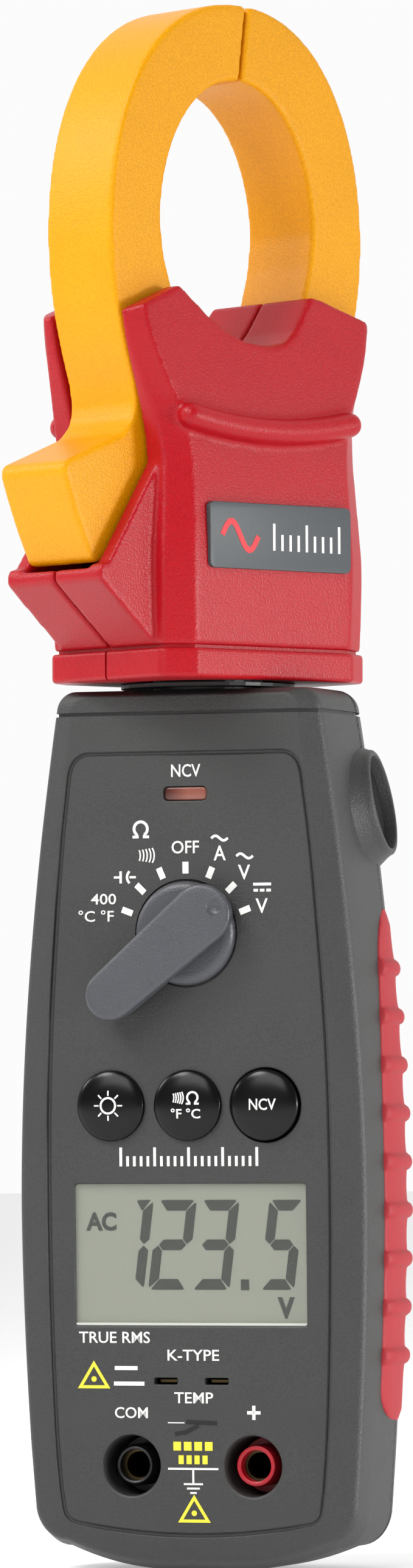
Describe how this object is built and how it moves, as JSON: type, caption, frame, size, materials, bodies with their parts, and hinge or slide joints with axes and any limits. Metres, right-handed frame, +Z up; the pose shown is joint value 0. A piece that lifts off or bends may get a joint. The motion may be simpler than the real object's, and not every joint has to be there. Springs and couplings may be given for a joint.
{
  "type": "swivel-head clamp meter",
  "caption": "Handheld clamp multimeter with a swivelling head, spring-closed jaws, a lever selector, push buttons, a segment display and shrouded input sockets.",
  "frame": {"origin": "on the foot's flat, 1 mm behind the axis that the head turns about", "axes": "+Z up along the body towards the jaws, -Y out of the face with the display"},
  "size_m": [0.059, 0.0588, 0.233],
  "materials": {
    "head_plastic": "satin",
    "jaw_plastic": "satin",
    "body_plastic": "fine grained",
    "grip_rubber": "soft matte",
    "knob_plastic": "satin",
    "button_rubber": "smooth, moderately glossy",
    "display_lens": "clear",
    "display_glass": "grey-green",
    "indicator_tint": "tinted",
    "label_plate": "printed film",
    "black_plastic": "smooth",
    "red_plastic": "smooth",
    "white_plastic": "diffusing",
    "steel": "plated",
    "brass": "turned",
    "core_laminations": "laminated edge",
    "copper_winding": "enamelled wire",
    "circuit_board": "solder mask",
    "cell_jacket": "foil sleeve"
  },
  "bodies": {
    "body": {"front_cover": "body_plastic", "rear_cover": "body_plastic", "left_grip": "grip_rubber", "right_grip": "grip_rubber", "case_screw_upper_left": "steel", "case_screw_upper_right": "steel", "case_screw_lower_left": "steel", "case_screw_lower_right": "steel", "swivel_washer": "black_plastic", "swivel_detent_spring": "steel", "display_window": "display_lens", "lcd_panel": "display_glass", "lcd_backlight": "white_plastic", "lcd_connector_strip": "grip_rubber", "main_circuit_board": "circuit_board", "buzzer": "black_plastic", "indicator_lens": "indicator_tint", "selector_detent_ring": "steel", "keypad_membrane": "grip_rubber", "key_switch_1": "black_plastic", "key_switch_2": "black_plastic", "key_switch_3": "black_plastic", "hold_switch": "black_plastic", "com_jack_insulator": "black_plastic", "com_jack_sleeve": "brass", "positive_jack_insulator": "red_plastic", "positive_jack_sleeve": "brass", "thermocouple_contact_left": "brass", "thermocouple_contact_right": "brass", "battery_left": "cell_jacket", "battery_right": "cell_jacket", "battery_bridge_contact": "steel", "battery_contact_left": "steel", "battery_contact_right": "steel", "battery_spring_left": "steel", "battery_spring_right": "steel"},
    "head": {"head_front_shell": "head_plastic", "head_rear_shell": "head_plastic", "fixed_jaw": "jaw_plastic", "fixed_jaw_core": "core_laminations", "pickup_coil": "copper_winding", "jaw_pivot_pin": "steel", "jaw_return_spring": "steel", "label_plate": "label_plate", "head_screw_left": "steel", "head_screw_right": "steel", "head_screw_upper": "steel", "swivel_spigot": "black_plastic"},
    "moving_jaw": {"moving_jaw": "jaw_plastic", "moving_jaw_core": "core_laminations"},
    "selector": {"selector_knob": "knob_plastic", "selector_rotor": "white_plastic"},
    "backlight_button": {"backlight_button": "button_rubber"},
    "mode_button": {"mode_button": "button_rubber"},
    "sensing_button": {"sensing_button": "button_rubber"},
    "hold_button": {"hold_button": "button_rubber"},
    "battery_cover": {"battery_cover": "body_plastic", "battery_cover_screw": "steel"}
  },
  "joints": [
    {"name": "head_swivel", "type": "hinge", "parent": "body", "child": "head", "pos_m": [0, -0.001, 0.13], "axis": [0, 0, 1], "range_deg": [-150, 30]},
    {"name": "jaw_open", "type": "hinge", "parent": "head", "child": "moving_jaw", "pos_m": [-0.00625, -0.01183, 0.166], "axis": [0.866, -0.5, 0], "range_deg": [0, 28], "stiffness_Nm_per_rad": 0.12, "springref_deg": -28.65},
    {"name": "selector_turn", "type": "hinge", "parent": "body", "child": "selector", "pos_m": [0, 0, 0.0944], "axis": [0, -1, 0], "range_deg": [-24, 120]},
    {"name": "backlight_button_press", "type": "slide", "parent": "body", "child": "backlight_button", "axis": [0, 1, 0], "range_m": [0, 0.0008], "stiffness_N_per_m": 300, "springref_m": -0.0005},
    {"name": "mode_button_press", "type": "slide", "parent": "body", "child": "mode_button", "axis": [0, 1, 0], "range_m": [0, 0.0008], "stiffness_N_per_m": 300, "springref_m": -0.0005},
    {"name": "sensing_button_press", "type": "slide", "parent": "body", "child": "sensing_button", "axis": [0, 1, 0], "range_m": [0, 0.0008], "stiffness_N_per_m": 300, "springref_m": -0.0005},
    {"name": "hold_button_press", "type": "slide", "parent": "body", "child": "hold_button", "axis": [-0.9754, -0.12, -0.1851], "range_m": [0, 0.0008], "stiffness_N_per_m": 300, "springref_m": -0.0005},
    {"name": "battery_cover_lift", "type": "slide", "parent": "body", "child": "battery_cover", "axis": [0, 1, 0], "range_m": [0, 0.03]}
  ]
}
